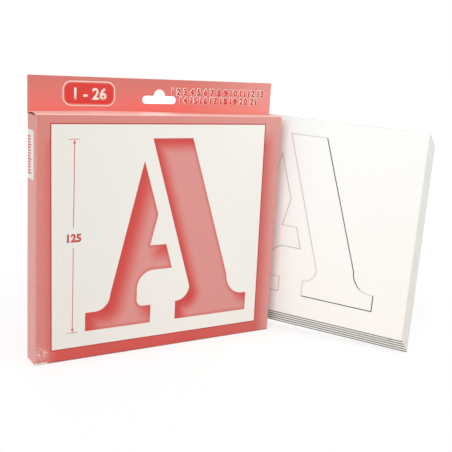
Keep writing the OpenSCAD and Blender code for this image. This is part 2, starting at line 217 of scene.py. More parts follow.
# Front print: an off-white panel with a thin red rule, whose airbrushed shadow falls right and down on pink
# paperLeft and paperRight: the paper grows lighter toward the right, a painted sheen of the varnish
panelLook = {"left": -81.35, "right": 79.0, "foot": 9.2, "head": 159.7, "lean": 0.0085, "leanFrom": 20,
             "rule": 0.8, "glow": 1.1, "glowFull": 0.2, "shadowX": (-83, 85.3), "shadowZ": (-6, 151),
             "blur": 6.8, "thinFrom": 20, "thinTo": 85, "thin": 0.84, "paperLeft": "#e6e3dc",
             "paperRight": "#f2efe8", "ruleRed": "#b0322c", "shadowRed": "#cc4d46", "glowRed": "#c95f57"}


# Centre and half size of a box that is endless from front to back
def boxAcross(left, right, foot, head):
    return ((left + right) / 2, 0, (foot + head) / 2), ((right - left) / 2, anyReach, (head - foot) / 2)


def paintPanel(tree, coords, colour):
    look = panelLook
    place = addNode(tree, "SeparateXYZ", links={0: coords})
    leaning = leanPrint(tree, place)
    shaded = shadePanel(tree, leaning, place, colour)
    gap = addNode(tree, "SeparateXYZ", links={
        0: pastBox(tree, leaning, *boxAcross(look["left"], look["right"], look["foot"], look["head"]))})
    past = addNode(tree, "Math", {"operation": "MAXIMUM"}, {0: gap.outputs[0], 1: gap.outputs[2]})
    fading = {"interpolation_type": "SMOOTHSTEP", 1: look["glow"], 2: look["glowFull"]}
    glow = addNode(tree, "MapRange", fading, {0: past.outputs[0]})
    glowing = addNode(tree, "Mix", {"data_type": "RGBA", 7: linear(look["glowRed"])},
                      {0: glow.outputs[0], 6: shaded})
    onRule = addNode(tree, "Math", {"operation": "LESS_THAN", 1: look["rule"]}, {0: past.outputs[0]})
    ruled = addNode(tree, "Mix", {"data_type": "RGBA", 7: linear(look["ruleRed"])},
                    {0: onRule.outputs[0], 6: glowing.outputs[2]})
    onPaper = addNode(tree, "Math", {"operation": "LESS_THAN", 1: 0.0}, {0: past.outputs[0]})
    # painted sheen: the paper lighter toward the right
    across = addNode(tree, "MapRange", {1: look["left"], 2: look["right"]}, {0: place.outputs[0]})
    papers = {6: linear(look["paperLeft"]), 7: linear(look["paperRight"])}
    paper = addNode(tree, "Mix", {"data_type": "RGBA", **papers}, {0: across.outputs[0]})
    panel = addNode(tree, "Mix", {"data_type": "RGBA"},
                    {0: onPaper.outputs[0], 6: ruled.outputs[2], 7: paper.outputs[2]})
    return addScuff(tree, coords, wearFoot(tree, coords, place, panel.outputs[2]))


# The print sits a little turned on the board: its upright edges lean left toward the top
def leanPrint(tree, place):
    above = addNode(tree, "Math", {"operation": "SUBTRACT", 1: panelLook["leanFrom"]}, {0: place.outputs[2]})
    leaning = addNode(tree, "Math", {"operation": "MULTIPLY_ADD", 1: panelLook["lean"]},
                      {0: above.outputs[0], 2: place.outputs[0]})
    turned = addNode(tree, "CombineXYZ",
                     links={0: leaning.outputs[0], 1: place.outputs[1], 2: place.outputs[2]})
    return turned.outputs[0]


# The airbrushed shadow: a soft box of deeper red, thinner toward the right
def shadePanel(tree, leaning, place, colour):
    look = panelLook
    soft = {"interpolation_type": "SMOOTHSTEP", 1: look["blur"], 2: -look["blur"]}
    gap = addNode(tree, "SeparateXYZ", links={
        0: pastBox(tree, leaning, *boxAcross(*look["shadowX"], *look["shadowZ"]))})
    inX = addNode(tree, "MapRange", soft, {0: gap.outputs[0]})
    inZ = addNode(tree, "MapRange", soft, {0: gap.outputs[2]})
    square = addNode(tree, "Math", {"operation": "MULTIPLY"}, {0: inX.outputs[0], 1: inZ.outputs[0]})
    thinner = addNode(tree, "MapRange", {1: look["thinFrom"], 2: look["thinTo"], 3: 1.0, 4: look["thin"]},
                      {0: place.outputs[0]})
    shadow = addNode(tree, "Math", {"operation": "MULTIPLY"}, {0: square.outputs[0], 1: thinner.outputs[0]})
    shaded = addNode(tree, "Mix", {"data_type": "RGBA", 7: linear(look["shadowRed"])},
                     {0: shadow.outputs[0], 6: colour})
    return shaded.outputs[2]


# Foot of the front panel: a dark line of painted shade along its lower edge, where the carton meets the
# floor, and a left end that is worn raw
footLook = {"line": 0.9, "lineSoft": 0.5, "dark": "#7d322c", "wornTo": -84.5, "wornToSoft": 0.8,
            "wornHigh": 1.6, "wornHighSoft": 0.3, "worn": "#e8dccb", "wander": 0.6, "wandersPerMm": 0.9}


def wearFoot(tree, coords, place, colour):
    look = footLook
    ragged = addNode(tree, "TexNoise", {"Scale": look["wandersPerMm"], "Detail": 4.0, "Roughness": 0.7},
                     {"Vector": coords})
    wander = addNode(tree, "MapRange", {1: noiseLow, 2: noiseHigh, 3: -look["wander"], 4: look["wander"]},
                     {0: ragged.outputs["Fac"]})
    height = addNode(tree, "Math", {"operation": "ADD"}, {0: place.outputs[2], 1: wander.outputs[0]})
    # the line of painted shade along the foot
    line, soft = look["line"], look["lineSoft"]
    low = addNode(tree, "MapRange", {"interpolation_type": "SMOOTHSTEP", 1: line + soft, 2: line - soft},
                  {0: height.outputs[0]})
    shadeLined = addNode(tree, "Mix", {"data_type": "RGBA", 7: linear(look["dark"])},
                    {0: low.outputs[0], 6: colour})
    side = addNode(tree, "Math", {"operation": "ADD"}, {0: place.outputs[0], 1: wander.outputs[0]})
    end, soft = look["wornTo"], look["wornToSoft"]
    corner = addNode(tree, "MapRange", {1: end + soft, 2: end - soft}, {0: side.outputs[0]})
    high, soft = look["wornHigh"], look["wornHighSoft"]
    foot = addNode(tree, "MapRange", {1: high + soft, 2: high - soft}, {0: height.outputs[0]})
    bare = addNode(tree, "Math", {"operation": "MULTIPLY"}, {0: corner.outputs[0], 1: foot.outputs[0]})
    worn = addNode(tree, "Mix", {"data_type": "RGBA", 7: linear(look["worn"])},
                   {0: bare.outputs[0], 6: shadeLined.outputs[2]})
    return worn.outputs[2]


# Scuff beside the lower left corner, in specks about 1.4 mm across
scuffLook = {"centre": (-89, -9, 8), "squash": (0.14, 0.1, 0.16), "full": 0.35, "speck": 1.4, "from": 0.5,
             "to": 0.58, "amount": 0.6, "colour": "#f1cfc6"}


def addScuff(tree, coords, colour):
    look = scuffLook
    past = pastBox(tree, coords, look["centre"], (0, 0, 0))
    shape = addNode(tree, "VectorMath", {"operation": "MULTIPLY", 1: look["squash"]}, {0: past})
    reach = addNode(tree, "VectorMath", {"operation": "LENGTH"}, {0: shape.outputs[0]})
    near = addNode(tree, "MapRange", {"interpolation_type": "SMOOTHSTEP", 1: 1.0, 2: look["full"]},
                   {0: reach.outputs["Value"]})
    specks = addNode(tree, "TexNoise", {"Scale": 1 / look["speck"], "Detail": 2.0}, {"Vector": coords})
    spots = addNode(tree, "MapRange", {1: look["from"], 2: look["to"], 4: look["amount"]},
                    {0: specks.outputs["Fac"]})
    share = addNode(tree, "Math", {"operation": "MULTIPLY"}, {0: near.outputs[0], 1: spots.outputs[0]})
    scuffed = addNode(tree, "Mix", {"data_type": "RGBA", 7: linear(look["colour"])},
                      {0: share.outputs[0], 6: colour})
    return scuffed.outputs[2]


# Header print, with painted light: a brighter patch under the slot, a painted reflection of light off the
# lid, and a paler right end
headerLook = {"centre": (0, 0, 170.5), "half": (6, anyReach, 0.2), "stretch": (1, 0, 5.5), "reach": 26,
              "full": 4, "bright": "#ef6b5f", "brightAmount": 0.75,
              "paleFrom": 25, "paleTo": 90, "pale": "#f3b3a6", "paleAmount": 0.4}


def paintHeader(tree, coords, colour):
    look = headerLook
    gap = pastBox(tree, coords, look["centre"], look["half"])
    stretched = addNode(tree, "VectorMath", {"operation": "MULTIPLY", 1: look["stretch"]}, {0: gap})
    outside = addNode(tree, "VectorMath", {"operation": "MAXIMUM", 1: (0, 0, 0)}, {0: stretched.outputs[0]})
    reach = addNode(tree, "VectorMath", {"operation": "LENGTH"}, {0: outside.outputs[0]})
    # the brighter patch under the slot: a painted reflection of light off the lid
    fading = {"interpolation_type": "SMOOTHSTEP", 1: look["reach"], 2: look["full"], 4: look["brightAmount"]}
    share = addNode(tree, "MapRange", fading, {0: reach.outputs["Value"]})
    mixed = addNode(tree, "Mix", {"data_type": "RGBA", 7: linear(look["bright"])},
                    {0: share.outputs[0], 6: colour})
    place = addNode(tree, "SeparateXYZ", links={0: coords})
    right = addNode(tree, "MapRange", {1: look["paleFrom"], 2: look["paleTo"], 4: look["paleAmount"]},
                    {0: place.outputs[0]})
    paler = addNode(tree, "Mix", {"data_type": "RGBA", 7: linear(look["pale"])},
                    {0: right.outputs[0], 6: mixed.outputs[2]})
    return paler.outputs[2]


# The walls are printed on every outer face, the other boards only on the side that their box leaves outside.
# A box that lies off to one side starts 1 mm behind the printed face and runs far past the others
wallBoard = {"roughness": inkRoughness, "rubAndHighlight": rubAndHighlightLook["amount"], "inkCentre": (0, 0, headerHeight / 2),
             "inkHalf": (cartonRight - 1, -frontY - 1, headerHeight / 2 - 1)}
flapBoard = {"roughness": inkRoughness, "rubAndHighlight": 0.0, "inkCentre": (0, 0, foldHeight / 2)}
boardLooks = {
    # the pink grows lighter toward the right: a painted sheen of the varnish
    "front_panel": {**wallBoard, "axis": 0, "span": (cartonLeft, cartonRight),
                    "stops": [(0, "#d08077"), (0.5, "#d4867d"), (1, "#d9948c")]},
    "left_side": {**wallBoard, "axis": 2, "span": (0, foldHeight),
                  "stops": [(0, "#df9893"), (0.5, "#dd958f"), (0.85, "#d58981"), (1, "#d08078")]},
    # darker toward its foot
    "back_panel": {**wallBoard, "axis": 2, "span": (0, headerHeight),
                   "stops": [(0, "#cc5a52"), (0.08, "#d4776e"), (0.25, "#d98f86"), (1, "#d98a80")]},
    # lightest at its foot by the lid: painted light reflected off the lid
    "header_ply": {**flapBoard, "axis": 2, "span": (foldHeight, headerHeight),
                   "inkCentre": (0, 100, headerHeight / 2),
                   "inkHalf": (anyReach, 99 - headerY, headerHeight / 2 - 1),
                   "stops": [(0, "#ec7a6e"), (0.35, "#e0726a"), (0.75, "#d57268"), (1, "#cf7268")]},
    # palest at the fold and the front of the top: a painted highlight where the light falls on the lid
    "lid_panel": {**flapBoard, "axis": 1, "span": (frontY, 7.5), "roughness": 0.38,
                  "inkHalf": (anyReach, -frontY - 1, foldHeight / 2 - 1),
                  "stops": [(0, "#ffd3ca"), (0.3, "#ffc2b8"), (0.7, "#fbaa9d"), (1, "#f4968a")]},
    "tuck_flap": {**flapBoard, "axis": 2, "span": (152, foldHeight),
                  "inkCentre": (0, -100, foldHeight / 2), "inkHalf": (anyReach, 106.55, anyReach),
                  "stops": [(0, "#d98a80"), (1, "#df8578")]},
    # a deeper red, chosen dark to stand for the shaded gap under the lid: partly painted shade
    "top_dust_left": {**flapBoard, "axis": 0, "span": (cartonLeft, cartonRight),
                      "inkHalf": (cartonRight - 1, anyReach, 81.2), "stops": [(0, "#b85a50")]},
    # darkest at its front edge: painted shade under the carton's front foot
    "bottom_outer_flap": {**flapBoard, "axis": 1, "span": (frontY, -frontY),
                          "inkCentre": (0, 0, 100), "inkHalf": (anyReach, anyReach, 99),
                          "stops": [(0, "#cc5a52"), (0.3, "#d98f86"), (1, "#d98f86")]},
    "seam_strip": {**flapBoard, "axis": 2, "span": (0, foldHeight), "roughness": 0.8,
                   "inkHalf": (anyReach, anyReach, anyReach), "stops": [(0, rawLook["light"])]},
}
sameBoard = {"right_side": "left_side", "top_dust_right": "top_dust_left", "bottom_inner_flap": "seam_strip",
             "bottom_dust_left": "seam_strip", "bottom_dust_right": "seam_strip"}
painters = {"front_panel": paintPanel, "header_ply": paintHeader}


def dressNode(node, material):
    for slot in frame["nodes"][node].material_slots:
        slot.material = material


boards = {}
for node, look in boardLooks.items():
    boards[node] = boardMaterial("boxboard_" + node, look, painters.get(node))
    dressNode(node, boards[node])
for node, like in sameBoard.items():
    dressNode(node, boards[like])
print("carton board dressed")


# White card, smooth and uncoated, die cut: bright faces, and a grey line of painted shade inside each
# edge, strongest at the foot
cardLook = {"light": "#fbfffe", "dark": "#f9fefb", "warm": "#fbf5ee", "warmAmount": 0.8, "blotch": 14,
            "roughness": 0.7, "bump": 0.35, "edgeShade": "#262422", "line": 0.55, "fade": 0.3, "nub": 0.5,
            "foot": 0.9, "right": 0.2, "left": 0.2, "head": 0.1}


# Axes of a card's own plane, from the joints that lift it and press its letter out
def jointAxis(name):
    return Vector(next(joint["axis"] for joint in frame["joints"] if joint["name"] == name)).normalized()


def cardAxes(standing):
    if not standing:
        return Vector((1, 0, 0)), Vector((0, 0, 1))
    up = jointAxis("card_a_lift")
    return jointAxis("letter_left_press").cross(up).normalized() * -1, up


# Lowest and highest reach of a node's points along a direction, in millimetres
def spanAlong(node, direction):
    reach = [vertex.co.dot(direction) / mm for vertex in frame["nodes"][node].data.vertices]
    return min(reach), max(reach)


def cardMaterial(name, node, standing):
    look = cardLook
    material, tree, shader, coords = startMaterial(name)
    blotch = addNode(tree, "TexNoise", {"Scale": 1 / look["blotch"], "Detail": 4.0}, {"Vector": coords})
    face = addNode(tree, "ValToRGB", links={0: blotch.outputs["Fac"]})
    setStops(face, [(0.35, look["dark"]), (0.65, look["light"])])
    along, up = cardAxes(standing)
    (left, right), (foot, head) = spanAlong(node, along), spanAlong(node, up)
    # the card is a little warmer toward its lower right corner
    slope = addNode(tree, "VectorMath", {"operation": "DOT_PRODUCT", 1: along - up}, {0: coords})
    lowerRightShare = addNode(tree, "MapRange", {1: (left + right) / 2 - head, 2: right - foot, 4: look["warmAmount"]},
                   {0: slope.outputs["Value"]})
    warmed = addNode(tree, "Mix", {"data_type": "RGBA", 7: linear(look["warm"])},
                     {0: lowerRightShare.outputs[0], 6: face.outputs["Color"]})
    colour = warmed.outputs[2]
    # each edge in turn: its direction outwards, and where the cut lies along it once the nubs are taken off
    footNub = look["nub"] if node == "stencil_a" else 0
    edges = {"foot": (-up, -foot - footNub), "head": (up, head - look["nub"]),
             "right": (along, right - look["nub"]), "left": (-along, -left)}
    # a line of painted shade inside each edge, strongest at the foot and weakest at the head
    for edge, (outward, cut) in edges.items():
        out = addNode(tree, "VectorMath", {"operation": "DOT_PRODUCT", 1: outward}, {0: coords})
        line = cut - look["line"]
        dark = addNode(tree, "MapRange", {1: line - look["fade"], 2: line, 4: look[edge]},
                       {0: out.outputs["Value"]})
        shadeLined = addNode(tree, "Mix", {"data_type": "RGBA", 7: linear(look["edgeShade"])},
                        {0: dark.outputs[0], 6: colour})
        colour = shadeLined.outputs[2]
    tree.links.new(colour, shader.inputs["Base Color"])
    shader.inputs["Roughness"].default_value = look["roughness"]
    addFibreBump(tree, shader, coords, look["bump"])
    return material


standingCards = ["stencil_a", "stencil_b", "stencil_c", "stencil_d", "stencil_e"]
stockCard = cardMaterial("white_card_stock", "stencil_f", False)
for node in frame["nodes"]:
    if node in standingCards:
        dressNode(node, cardMaterial("white_card_" + node[-1], node, True))
    elif node.startswith("stencil_"):
        dressNode(node, stockCard)
# the loose letters are cut from the front card, so they share its finish
for node in ("letter_a_left", "letter_a_right"):
    dressNode(node, bpy.data.materials["white_card_a"])
print("cards dressed")


# Flat print: outlines in a panel's own millimetres, filled, stood on the panel and given the ink's thickness.
# A second layer of ink stands on the first, lifted by as much as that is proud
inkLayer = {"proud": 0.03, "sunk": 0.02, "weld": 0.001}
secondLayer = inkLayer["proud"]
panels = {
    "front": {"turn": (90, 0, 0), "place": (0, frontY, 0)},
    "header": {"turn": (90, 0, 0), "place": (0, headerY, 0)},
    "left": {"turn": (90, 0, -90), "place": (cartonLeft, 0, 0)},
}


def arcPoints(cx, cy, rx, ry, start, end, steps=8):
    angles = [math.radians(start + (end - start) * i / steps) for i in range(steps + 1)]
    return [(cx + rx * math.cos(a), cy + ry * math.sin(a)) for a in angles]


def barPoints(x0, x1, y0, y1):
    return [(x0, y0), (x1, y0), (x1, y1), (x0, y1)]


def fillOutlines(name, outlines):
    curve = bpy.data.curves.new(name, "CURVE")
    curve.dimensions = "2D"
    curve.fill_mode = "BOTH"
    for outline in outlines:
        spline = curve.splines.new("POLY")
        spline.points.add(len(outline) - 1)
        spline.use_cyclic_u = True
        for point, (x, y) in zip(spline.points, outline):
            point.co = (x * mm, y * mm, 0, 1)
    piece = bpy.data.objects.new(name, curve)
    bpy.context.collection.objects.link(piece)
    makeActive(piece)
    bpy.ops.object.convert(target="MESH")
    return piece


def makeActive(piece):
    bpy.ops.object.select_all(action="DESELECT")
    piece.select_set(True)
    bpy.context.view_layer.objects.active = piece


# Gives a thin piece its thickness, behind its faces at side -1 and before them at side 1
def thicken(piece, thick, side):
    makeActive(piece)
    solid = piece.modifiers.new("thickness", "SOLIDIFY")
    solid.thickness = thick * mm
    solid.offset = side
    bpy.ops.object.modifier_apply(modifier=solid.name)


# Cuts a flat piece into cells, so that a colour can change across it
def gridCut(piece, cell):
    makeActive(piece)
    xs = [v.co.x for v in piece.data.vertices]
    ys = [v.co.y for v in piece.data.vertices]
    bpy.ops.object.mode_set(mode="EDIT")
    for low, high, normal in ((min(xs), max(xs), (1, 0, 0)), (min(ys), max(ys), (0, 1, 0))):
        steps = int((high - low) / (cell * mm))
        for i in range(1, steps + 1):
            at = low + (high - low) * i / (steps + 1)
            bpy.ops.mesh.select_all(action="SELECT")
            bpy.ops.mesh.bisect(plane_co=[at * n for n in normal], plane_no=normal)
    bpy.ops.object.mode_set(mode="OBJECT")


def layOn(piece, panel, lift=0.0):
    makeActive(piece)
    look = panels[panel]
    piece.rotation_euler = [math.radians(a) for a in look["turn"]]
    piece.location = [c * mm for c in look["place"]]
    bpy.ops.object.transform_apply(location=True, rotation=True, scale=True)
    bpy.ops.object.mode_set(mode="EDIT")
    bpy.ops.mesh.select_all(action="SELECT")
    bpy.ops.mesh.remove_doubles(threshold=inkLayer["weld"] * mm)
    bpy.ops.object.mode_set(mode="OBJECT")
    outward = piece.data.polygons[0].normal.copy()
    for vertex in piece.data.vertices:
        vertex.co += outward * (inkLayer["proud"] + lift) * mm
    thicken(piece, inkLayer["proud"] + inkLayer["sunk"], -1)


# Printed letter: two stencil islands, airbrushed dark on the left and top, with a thin darker rim
letterLook = {"height": 130.8, "drawn": 125, "left": -58.2, "foot": 19.55, "cell": 2.0, "shift": (-6.5, 6.0),
              "soft": {"left": (-7.8, 9.2), "right": (-6.5, 5.5)}, "rim": 0.3, "rimFade": 3.0,
              "rimAmount": 0.5, "rimColour": "#c8443d",
              "stops": [(0, "#c93934"), (0.3, "#cd4f49"), (0.6, "#d26b64"), (0.85, "#d58079"),
                        (1, "#d78d87")]}
# The islands as drawn, in millimetres from the letter's lower left corner
letterIslands = {
    "left": [(38.9, 110.5)] + arcPoints(6.5, 23, 10.5, 10.5, 0, -90)
            + [(0, 12.5), (0, 0), (46.4, 0), (46.4, 12.5)] + arcPoints(40.5, 17, 4.5, 4.5, 270, 180, 4)
            + arcPoints(48, 25, 12, 12, 180, 90) + [(61.5, 37), (56.6, 54), (44.7, 54), (49.9, 74.8)],
    "right": [(44.4, 125)] + arcPoints(65.5, 23, 10, 10, 0, -90)
             + [(65.1, 13), (65.1, 0), (122.2, 0), (122.2, 13)] + arcPoints(119, 28, 13.7, 15, 270, 180)
             + [(73.6, 125)],
}


# How far points lie inside an outline, in its own measure, negative outside
def depthInside(points, outline):
    start = np.array(outline)
    end = np.roll(start, -1, axis=0)
    p = points[:, None, :]
    edge = end - start
    t = np.clip(((p - start) * edge).sum(2) / (edge ** 2).sum(1), 0, 1)
    gap = np.linalg.norm(p - (start + t[..., None] * edge), axis=2).min(1)
    spans = (start[:, 1] > p[..., 1]) != (end[:, 1] > p[..., 1])
    rise = np.where(edge[:, 1] == 0, 1e-9, edge[:, 1])
    crossing = spans & (p[..., 0] < start[:, 0] + (p[..., 1] - start[:, 1]) / rise * edge[:, 0])
    return np.where(crossing.sum(1) % 2 == 1, gap, -gap)


# Stores one value for each point or face of a piece, for its material to read
def addShade(piece, name, values, domain="POINT"):
    attribute = piece.data.attributes.new(name, "FLOAT", domain)
    attribute.data.foreach_set("value", values.astype("float32"))


def letterInk(look):
    material, tree, shader, coords = startMaterial("airbrushed_ink")
    shade = addNode(tree, "Attribute", {"attribute_name": "shade"})
    ramp = addNode(tree, "ValToRGB", links={0: shade.outputs["Fac"]})
    setStops(ramp, look["stops"])
    depth = addNode(tree, "Attribute", {"attribute_name": "depth"})
    edge = {"interpolation_type": "SMOOTHSTEP", 1: look["rimFade"], 2: look["rim"], 4: look["rimAmount"]}
    rim = addNode(tree, "MapRange", edge, {0: depth.outputs["Fac"]})
    ink = addNode(tree, "Mix", {"data_type": "RGBA", 7: linear(look["rimColour"])},
                  {0: rim.outputs[0], 6: ramp.outputs["Color"]})
    tree.links.new(ink.outputs[2], shader.inputs["Base Color"])
    shader.inputs["Roughness"].default_value = inkRoughness
    addFibreBump(tree, shader, coords)
    return material


def printLetter(look):
    material = letterInk(look)
    grow = look["height"] / look["drawn"]
    for side, island in letterIslands.items():
        outline = [(look["left"] + x * grow, look["foot"] + y * grow) for x, y in island]
        piece = fillOutlines("printed_letter_" + side, [outline])
        gridCut(piece, look["cell"])
        layOn(piece, "front")
        points = np.array([(v.co.x / mm, v.co.z / mm) for v in piece.data.vertices])
        shifted = depthInside(points + np.array(look["shift"]), outline)
        softFrom, softTo = look["soft"][side]
        soft = np.clip((shifted - softFrom) / (softTo - softFrom), 0, 1)
        addShade(piece, "shade", soft * soft * (3 - 2 * soft))
        addShade(piece, "depth", depthInside(points, outline))
        piece.data.materials.append(material)
        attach(piece, "carton")


printLetter(letterLook)
print("letter printed")


# Plain offset inks and the label's paper: one colour each, with the grain of the board showing through
def plainInk(name, colour, roughness=0.45):
    material, tree, shader, coords = startMaterial(name)
    speckle = inkSpeckle(tree, coords, inkGrain["least"], inkGrain["most"])
    ink = addNode(tree, "VectorMath", {"operation": "SCALE", 0: linear(colour)[:3]}, {"Scale": speckle})
    tree.links.new(ink.outputs[0], shader.inputs["Base Color"])
    shader.inputs["Roughness"].default_value = roughness
    addFibreBump(tree, shader, coords)
    return material


redInk = plainInk("red_line_ink", "#c5453f")
brightRed = plainInk("bright_red_ink", "#d62f26")
paleInk = plainInk("pale_print", "#fbe6de")
labelPaper = plainInk("label_paper", "#ebe7e1", 0.6)


# Takes away a print's overlaps with itself, where fattened digits run over their own strokes
def mergeOverlaps(piece):
    makeActive(piece)
    bpy.ops.object.mode_set(mode="EDIT")
    bpy.ops.mesh.select_all(action="SELECT")
    bpy.ops.mesh.intersect_boolean(operation="UNION", use_self=True, solver="EXACT")
    bpy.ops.object.mode_set(mode="OBJECT")


def finishPrint(piece, panel, material, lift=0.0, merge=False):
    layOn(piece, panel, lift=lift)
    if merge:
        mergeOverlaps(piece)
    piece.data.materials.append(material)
    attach(piece, "carton")


# Dimension line: an upright line with ticks and arrowheads at its ends, open in the middle for its number
measureLook = {"x": -67.2, "foot": 19.75, "head": 150.2, "gapFoot": 78.6, "gapHead": 92.1, "width": 0.5,
               "tick": 7.5, "tickWidth": 0.4, "arrow": 2.8, "arrowWidth": 1.9,
               "number": "125", "digits": 5.3, "bold": 0.34}


def addMeasure(look):
    x, half = look["x"], look["width"] / 2
    tick, tall = look["tick"] / 2, look["tickWidth"]
    outlines = [barPoints(x - half, x + half, look["foot"] + look["arrow"], look["gapFoot"]),
                barPoints(x - half, x + half, look["gapHead"], look["head"] - look["arrow"])]
    for end, way in ((look["foot"], 1), (look["head"], -1)):
        outlines.append(barPoints(x - tick, x + tick, end - tall / 2, end + tall / 2))
        base = end + way * look["arrow"]
        wide = look["arrowWidth"] / 2
        outlines.append([(x - wide, base), (x + wide, base), (x, end + way * tall / 2)][::way])
    for i, outline in enumerate(outlines):
        finishPrint(fillOutlines("measure_%d" % i, [outline]), "front", redInk)
    middle = (look["gapFoot"] + look["gapHead"]) / 2
    number = flatText(look["number"], look["digits"], x, middle - look["digits"] / 2, look["bold"])
    number.name = "measure_number"
    finishPrint(number, "front", redInk)


# Digits of a given height, centred over x and standing on y. A digit is 0.72 of the type's size
typeLook = {"digitShare": 0.72, "curve": 3}


def flatText(text, digits, x, y, bold=0.0, space=1.0):
    bpy.ops.object.text_add()
    piece = bpy.context.object
    piece.name = "digits"
    piece.data.body = text
    piece.data.align_x = "CENTER"
    piece.data.size = digits / typeLook["digitShare"] * mm
    piece.data.offset = bold * mm
    piece.data.space_character = space
    piece.data.resolution_u = typeLook["curve"]
    bpy.ops.object.convert(target="MESH")
    piece.location = (x * mm, y * mm, 0)
    bpy.ops.object.transform_apply(location=True, rotation=True, scale=True)
    return piece


addMeasure(measureLook)
print("measure printed")


# Header: plain card numbers in two rows, red with a pale outline, and a plain red tile with the card count
countLook = {"rows": [(1, 13, 9.5, 86.0, 178.8), (14, 21, 16.0, 80.0, 173.0)], "digits": 4.3,
             "outline": 0.75, "bold": 0.27, "space": 1.22}
tileLook = {"x": -51.3, "z": 178.1, "wide": 33.5, "high": 13.2, "radius": 4.2, "ring": 0.55, "gap": 0.9,
            "text": "1 - 26", "digits": 7.4, "bold": 0.35}


# Joins pieces into the first and names that
def joinPieces(name, pieces):
    bpy.ops.object.select_all(action="DESELECT")
    for piece in pieces:
        piece.select_set(True)
    bpy.context.view_layer.objects.active = pieces[0]
    bpy.ops.object.join()
    pieces[0].name = name
    return pieces[0]


# A row of numbers spread so that its first and last digits end at x0 and x1
def numberRow(first, last, look, x0, x1, z, bold):
    texts = [flatText(str(n), look["digits"], 0, z, bold, look["space"]) for n in range(first, last + 1)]
    widths = [text.dimensions.x / mm for text in texts]
    space = (x1 - x0 - sum(widths)) / (len(texts) - 1)
    at = x0
    for text, width in zip(texts, widths):
        middle = (min(v.co.x for v in text.data.vertices) + max(v.co.x for v in text.data.vertices)) / 2
        for vertex in text.data.vertices:
            vertex.co.x += (at + width / 2) * mm - middle
        at += width + space
    return texts


def addCounts(look):
    layers = (("outline", paleInk, look["outline"], 0.0), ("red", brightRed, look["bold"], secondLayer))
    for ink, material, bold, lift in layers:
        for row, (first, last, x0, x1, z) in enumerate(look["rows"]):
            reach = bold - look["bold"]
            texts = numberRow(first, last, look, x0 - reach, x1 + reach, z, bold)
            finishPrint(joinPieces("counts_%s_%d" % (ink, row), texts), "header", material, lift, merge=True)


def roundedTile(x, z, wide, high, radius):
    corners = ((wide / 2 - radius, high / 2 - radius, 0), (radius - wide / 2, high / 2 - radius, 90),
               (radius - wide / 2, radius - high / 2, 180), (wide / 2 - radius, radius - high / 2, 270))
    outline = []
    for cx, cz, start in corners:
        outline += arcPoints(x + cx, z + cz, radius, radius, start, start + 90, 6)
    return outline


def addTile(look):
    x, z, wide, high, radius = look["x"], look["z"], look["wide"], look["high"], look["radius"]
    edges = (look["gap"], look["gap"] + look["ring"])
    ring = [roundedTile(x, z, wide + 2 * edge, high + 2 * edge, radius + edge) for edge in edges]
    finishPrint(fillOutlines("tile_ring", ring), "header", paleInk)
    finishPrint(fillOutlines("tile_red", [roundedTile(x, z, wide, high, radius)]), "header", brightRed)
    text = flatText(look["text"], look["digits"], x, z - look["digits"] / 2, look["bold"])
    finishPrint(text, "header", paleInk, secondLayer)


addCounts(countLook)
addTile(tileLook)
print("header printed")


# Side label: a small pale sticker with a plain row of red ticks
labelLook = {"fromFront": 4.9, "toBack": -7.9, "foot": 123.7, "head": 155.2, "tickFoot": 127, "tickHead": 152,
             "pitch": 1.8, "tickWidth": 1.0, "longEvery": 5, "long": 7.6, "short": 5.8, "tickAt": -7.2}


def addLabel(look):
    sheet = barPoints(look["toBack"], look["fromFront"], look["foot"], look["head"])
    finishPrint(fillOutlines("side_label", [sheet]), "left", labelPaper)
    count = int((look["tickHead"] - look["tickFoot"]) / look["pitch"])
    for i in range(count + 1):
        z = look["tickFoot"] + i * look["pitch"]
        length = look["long"] if i % look["longEvery"] == 0 else look["short"]
        bar = barPoints(look["tickAt"], look["tickAt"] + length, z, z + look["tickWidth"])
        finishPrint(fillOutlines("label_tick_%d" % i, [bar]), "left", brightRed, secondLayer)


addLabel(labelLook)
print("side label placed")


# Cut line round each loose letter: a thin sheet of painted shade in the slit, dark on its right and lower
# sides and pale grey on the others
cutShadeLook = {"inner": 0.72, "proud": 0.02, "thick": 0.06, "slit": 0.45, "lean": (0.82, -0.57),
           "deepest": {"left": 0.47, "right": 1.0}, "roughness": 0.8,
           "stops": [(0, "#e0ddd7"), (0.45, "#cfccc5"), (0.6, "#33302c"), (1, "#141311")]}


# An outline drawn again a little inside itself, with as many points
def insetOutline(outline, by):
    points = np.array(outline)
    before, after = points - np.roll(points, 1, axis=0), np.roll(points, -1, axis=0) - points
    before /= np.linalg.norm(before, axis=1)[:, None]
    after /= np.linalg.norm(after, axis=1)[:, None]
    area = (points[:, 0] * np.roll(points[:, 1], -1) - np.roll(points[:, 0], -1) * points[:, 1]).sum()
    way = 1 if area > 0 else -1
    na, nb = [way * np.stack([-edge[:, 1], edge[:, 0]], 1) for edge in (before, after)]
    return points + by * (na + nb) / (1 + (na * nb).sum(1))[:, None]


# How far the edge nearest each point faces a direction, from -1 to 1
def edgeFacing(points, outline, direction):
    start = np.array(outline)
    edge = np.roll(start, -1, axis=0) - start
    t = np.clip(((points[:, None] - start) * edge).sum(2) / (edge ** 2).sum(1), 0, 1)
    nearest = np.linalg.norm(points[:, None] - (start + t[..., None] * edge), axis=2).argmin(1)
    area = (start[:, 0] * np.roll(start[:, 1], -1) - np.roll(start[:, 0], -1) * start[:, 1]).sum()
    outward = np.stack([edge[:, 1], -edge[:, 0]], 1) * (1 if area > 0 else -1)
    outward /= np.linalg.norm(outward, axis=1)[:, None]
    return (outward[nearest] * np.array(direction)).sum(1)


